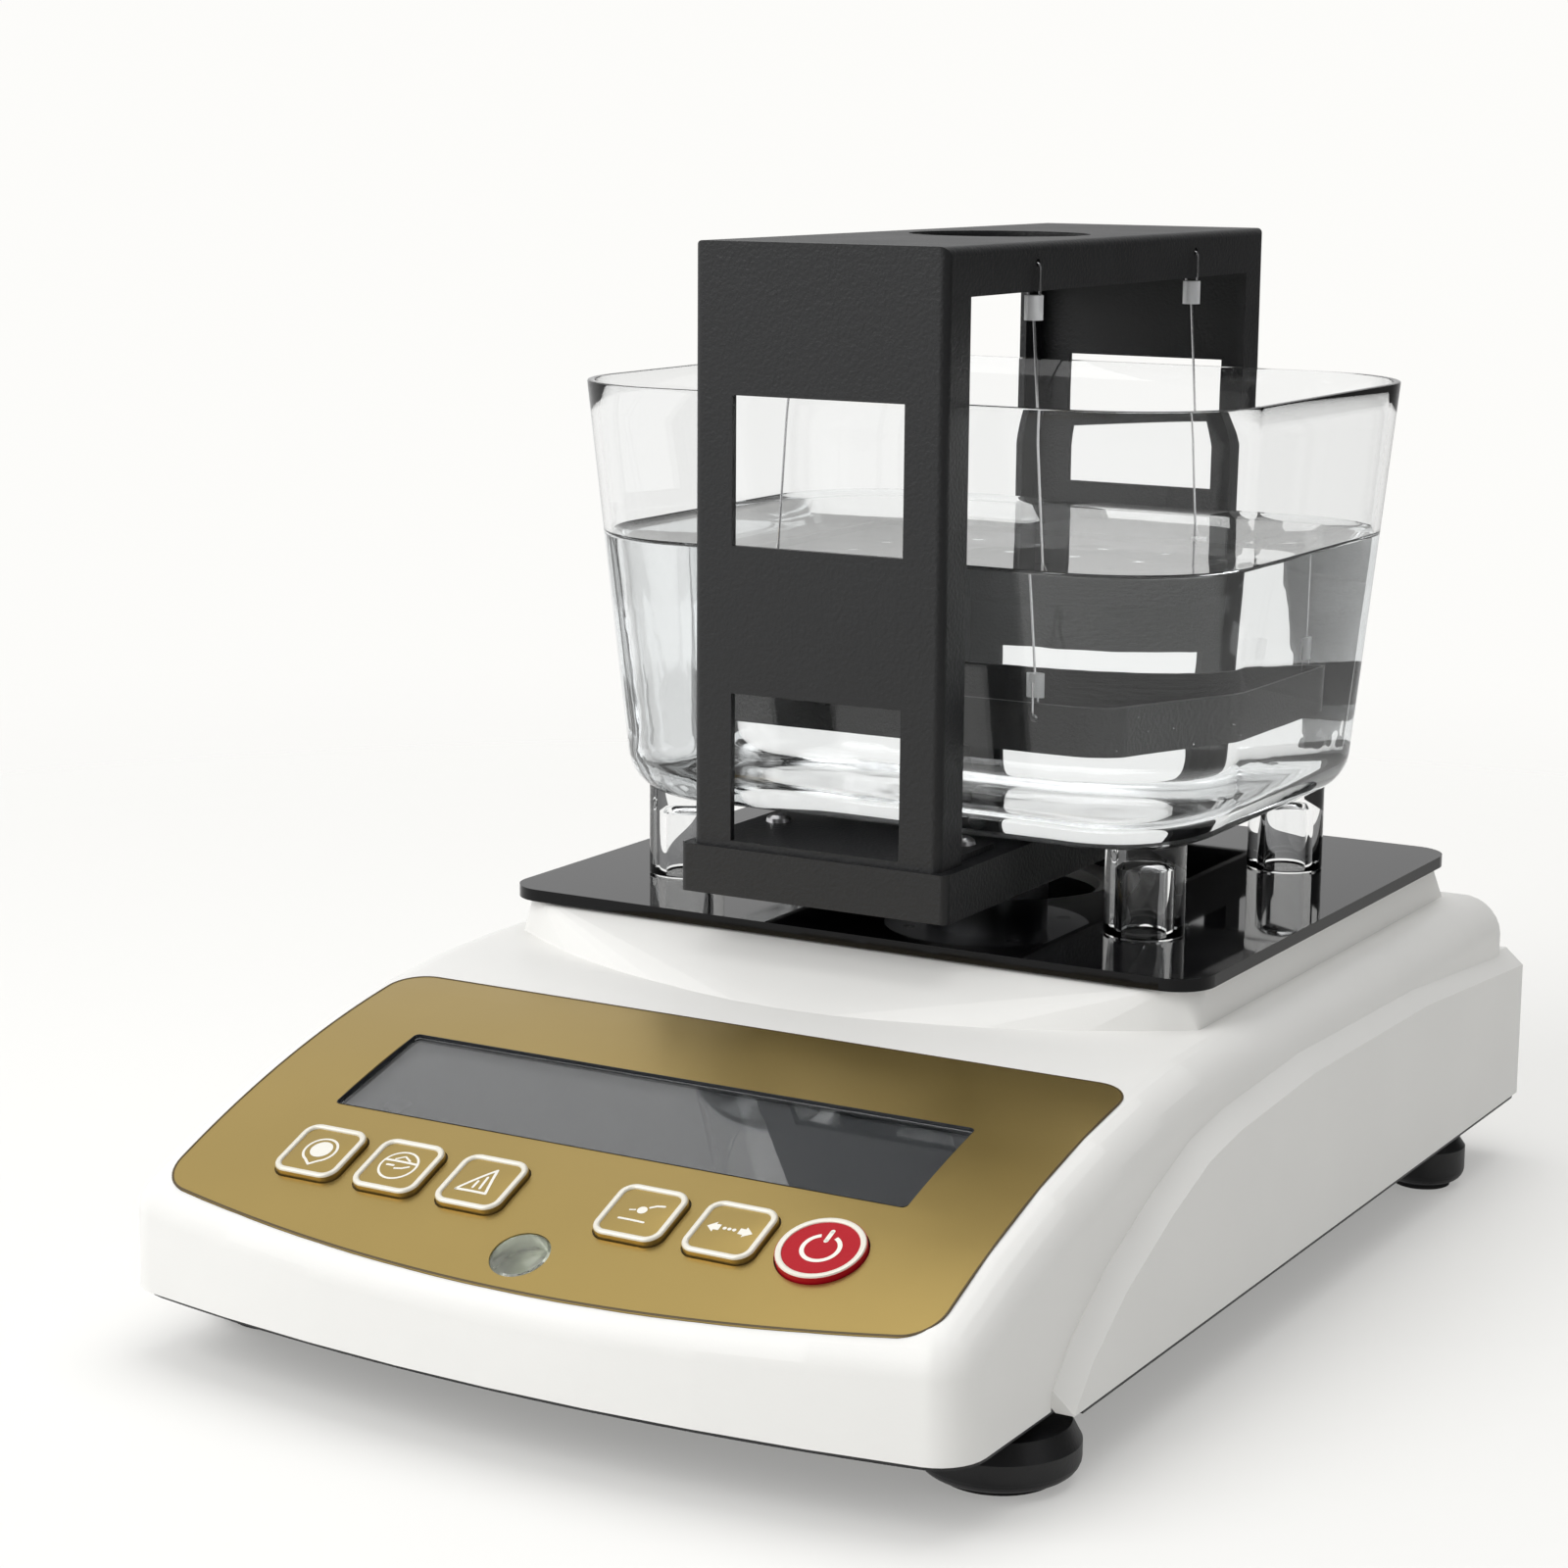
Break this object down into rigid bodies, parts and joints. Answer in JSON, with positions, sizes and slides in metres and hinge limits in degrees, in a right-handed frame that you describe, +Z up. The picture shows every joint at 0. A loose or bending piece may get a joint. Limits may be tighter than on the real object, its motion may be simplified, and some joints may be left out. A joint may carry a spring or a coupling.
{
  "type": "electronic gold tester",
  "caption": "Counter-top density balance with an arched key panel, a suspended weighing frame with an air dish, and a clear water tank with a hanging tray.",
  "frame": {"origin": "middle of the footprint, on the table under the rubber soles", "axes": "+Z up, -Y towards the operator (key panel side), +X to the operator's right"},
  "size_m": [0.184, 0.27, 0.2041],
  "materials": {
    "white_housing": "fine satin moulded ABS",
    "black_plastic": "satin moulded plastic",
    "black_acrylic": "polished sheet",
    "gold_film": "satin metallic film",
    "smoked_lens": "smooth smoked lens",
    "lcd_glass": "grey display glass",
    "red_key": "satin red cap",
    "vial_green": "liquid-filled clear capsule",
    "circuit_board": "solder mask",
    "ribbon_grey": "flat cable",
    "steel": "plated steel",
    "wire_steel": "bright drawn wire",
    "aluminium": "machined",
    "black_powder_coat": "fine matte powder coat",
    "clear_acrylic": "polished clear acrylic",
    "clear_crimp": "clear sleeve",
    "brass_insert": "turned",
    "sole_rubber": "matte rubber"
  },
  "bodies": {
    "root": {"top_cover": "white_housing", "base_tray": "black_plastic", "cover_screws": "steel", "platform_plate": "black_acrylic", "overlay_panel": "gold_film", "display_window": "smoked_lens", "lcd_module": "lcd_glass", "level_vial": "vial_green", "keypad_board": "circuit_board", "key_switches": "black_plastic", "panel_screws": "steel", "keypad_ribbon": "ribbon_grey", "main_board": "circuit_board", "board_screws": "steel", "port_board": "circuit_board", "power_jack": "black_plastic", "data_port": "steel", "load_cell": "aluminium", "cell_mount": "aluminium", "cell_screws": "steel", "overload_stop": "steel", "foot_inserts": "brass_insert"},
    "key_1": {"key_1": "gold_film"},
    "key_2": {"key_2": "gold_film"},
    "key_3": {"key_3": "gold_film"},
    "key_4": {"key_4": "gold_film"},
    "key_5": {"key_5": "gold_film"},
    "power_key": {"power_key": "red_key"},
    "weighing_frame": {"pan_carrier": "aluminium", "carrier_post": "aluminium", "carrier_screws": "steel", "frame_base": "black_powder_coat", "portal_frame": "black_powder_coat", "frame_screws": "steel", "air_dish": "black_powder_coat"},
    "front_hangers": {"hanger_wires_front": "wire_steel", "wire_crimps_front": "clear_crimp"},
    "back_hangers": {"hanger_wires_back": "wire_steel", "wire_crimps_back": "clear_crimp"},
    "tray": {"weighing_tray": "black_powder_coat"},
    "tank": {"water_tank": "clear_acrylic", "tank_feet": "clear_acrylic"},
    "sole_fl": {"foot_sole_fl": "sole_rubber"},
    "knob_fl": {"foot_knob_fl": "black_plastic"},
    "sole_fr": {"foot_sole_fr": "sole_rubber"},
    "knob_fr": {"foot_knob_fr": "black_plastic"},
    "sole_rl": {"foot_sole_rl": "sole_rubber"},
    "knob_rl": {"foot_knob_rl": "black_plastic"},
    "sole_rr": {"foot_sole_rr": "sole_rubber"},
    "knob_rr": {"foot_knob_rr": "black_plastic"}
  },
  "joints": [
    {"name": "key_1_press", "type": "slide", "parent": "root", "child": "key_1", "axis": [0, 0.3768, -0.9263], "range_m": [0, 0.0005], "stiffness_N_per_m": 4000, "springref_m": -0.0003},
    {"name": "key_2_press", "type": "slide", "parent": "root", "child": "key_2", "axis": [0, 0.3768, -0.9263], "range_m": [0, 0.0005], "stiffness_N_per_m": 4000, "springref_m": -0.0003},
    {"name": "key_3_press", "type": "slide", "parent": "root", "child": "key_3", "axis": [0, 0.3768, -0.9263], "range_m": [0, 0.0005], "stiffness_N_per_m": 4000, "springref_m": -0.0003},
    {"name": "key_4_press", "type": "slide", "parent": "root", "child": "key_4", "axis": [0, 0.3768, -0.9263], "range_m": [0, 0.0005], "stiffness_N_per_m": 4000, "springref_m": -0.0003},
    {"name": "key_5_press", "type": "slide", "parent": "root", "child": "key_5", "axis": [0, 0.3768, -0.9263], "range_m": [0, 0.0005], "stiffness_N_per_m": 4000, "springref_m": -0.0003},
    {"name": "power_key_press", "type": "slide", "parent": "root", "child": "power_key", "axis": [0, 0.3768, -0.9263], "range_m": [0, 0.0005], "stiffness_N_per_m": 4000, "springref_m": -0.0003},
    {"name": "pan_travel", "type": "slide", "parent": "root", "child": "weighing_frame", "axis": [0, 0, -1], "range_m": [0, 0.0004], "stiffness_N_per_m": 20000, "springref_m": -0.0006, "deforming": ["load_cell"]},
    {"name": "tray_swing", "type": "hinge", "parent": "weighing_frame", "child": "front_hangers", "pos_m": [0, 0.014, 0.2001], "axis": [1, 0, 0], "range_deg": [-6, 6]},
    {"name": "tray_level", "type": "hinge", "parent": "front_hangers", "child": "tray", "pos_m": [0, 0.014, 0.1124], "axis": [1, 0, 0], "range_deg": [-6, 6]},
    {"name": "back_hanger_swing", "type": "hinge", "parent": "weighing_frame", "child": "back_hangers", "pos_m": [0, 0.09, 0.2001], "axis": [1, 0, 0], "range_deg": [-6, 6]},
    {"name": "tank_lift", "type": "slide", "parent": "root", "child": "tank", "axis": [0, 0, 1], "range_m": [0, 0.014]},
    {"name": "foot_fl_height", "type": "slide", "parent": "root", "child": "sole_fl", "axis": [0, 0, -1], "range_m": [0, 0.005]},
    {"name": "foot_fl_turn", "type": "hinge", "parent": "sole_fl", "child": "knob_fl", "pos_m": [-0.077, -0.093, 0.008], "axis": [0, 0, 1], "range_deg": [-1440, 0]},
    {"name": "foot_fr_height", "type": "slide", "parent": "root", "child": "sole_fr", "axis": [0, 0, -1], "range_m": [0, 0.005]},
    {"name": "foot_fr_turn", "type": "hinge", "parent": "sole_fr", "child": "knob_fr", "pos_m": [0.077, -0.093, 0.008], "axis": [0, 0, 1], "range_deg": [-1440, 0]},
    {"name": "foot_rl_height", "type": "slide", "parent": "root", "child": "sole_rl", "axis": [0, 0, -1], "range_m": [0, 0.005]},
    {"name": "foot_rl_turn", "type": "hinge", "parent": "sole_rl", "child": "knob_rl", "pos_m": [-0.082, 0.1026, 0.008], "axis": [0, 0, 1], "range_deg": [-1440, 0]},
    {"name": "foot_rr_height", "type": "slide", "parent": "root", "child": "sole_rr", "axis": [0, 0, -1], "range_m": [0, 0.005]},
    {"name": "foot_rr_turn", "type": "hinge", "parent": "sole_rr", "child": "knob_rr", "pos_m": [0.082, 0.1026, 0.008], "axis": [0, 0, 1], "range_deg": [-1440, 0]}
  ],
  "couplings": [
    {"joint": "tray_level", "follows": "tray_swing", "ratio": -1},
    {"joint": "back_hanger_swing", "follows": "tray_swing", "ratio": 1},
    {"joint": "foot_fl_turn", "follows": "foot_fl_height", "rad_per_m": -5026.5},
    {"joint": "foot_fr_turn", "follows": "foot_fr_height", "rad_per_m": -5026.5},
    {"joint": "foot_rl_turn", "follows": "foot_rl_height", "rad_per_m": -5026.5},
    {"joint": "foot_rr_turn", "follows": "foot_rr_height", "rad_per_m": -5026.5}
  ]
}
